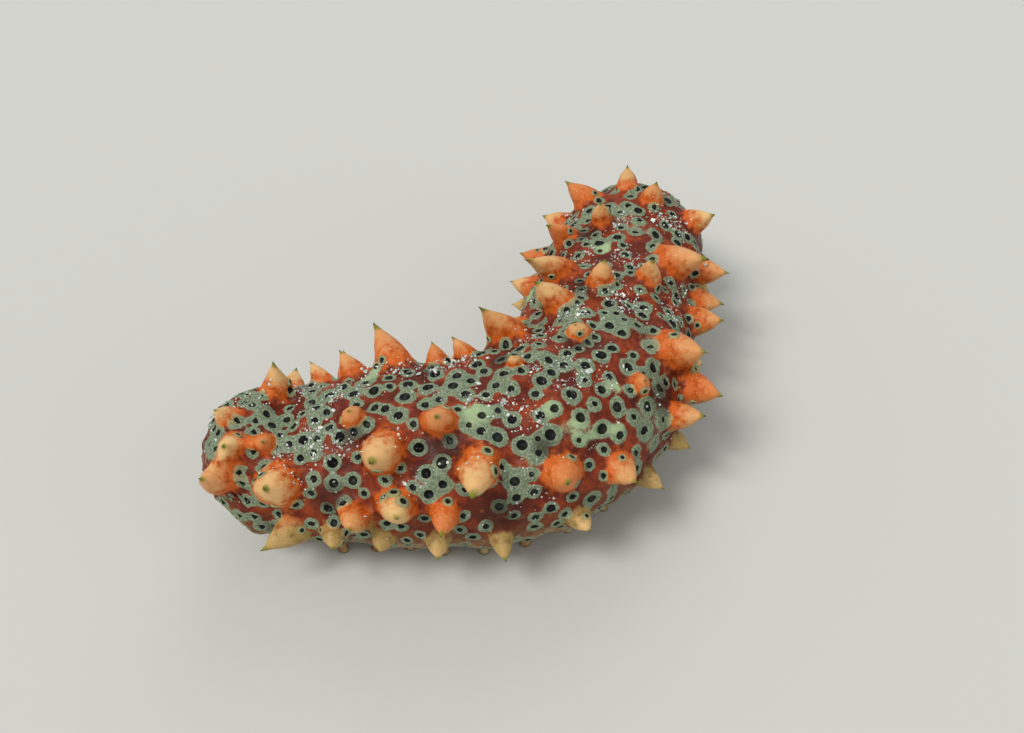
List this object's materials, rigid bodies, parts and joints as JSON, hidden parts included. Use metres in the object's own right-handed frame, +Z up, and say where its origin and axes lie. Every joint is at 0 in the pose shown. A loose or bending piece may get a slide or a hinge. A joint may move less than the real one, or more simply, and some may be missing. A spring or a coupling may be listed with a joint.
{
  "type": "sea cucumber",
  "caption": "Life-size still model of a bent sea cucumber with thorn-like papillae, lying on its tube feet, with mouth, tentacles and vent.",
  "frame": {"origin": "middle of the bounding box, on the plane that the tube feet stand on", "axes": "+Z up, away from the ground; the front end with the mouth points to -X and the hind body turns off to +Y"},
  "size_m": [0.1034, 0.1066, 0.0383],
  "materials": {
    "skin": "wet, softly glossy skin",
    "pale_skin": "wet, softly glossy pale skin",
    "tentacles": "wet, translucent-looking skin"
  },
  "bodies": {
    "root": {"front_end": "skin", "fore_body": "skin", "mid_body": "skin", "bend": "skin", "hind_body": "skin", "rear_body": "skin", "rear_end": "skin", "mouth_lips": "pale_skin", "tentacle_crown": "tentacles", "vent_rim": "pale_skin"}
  },
  "joints": []
}
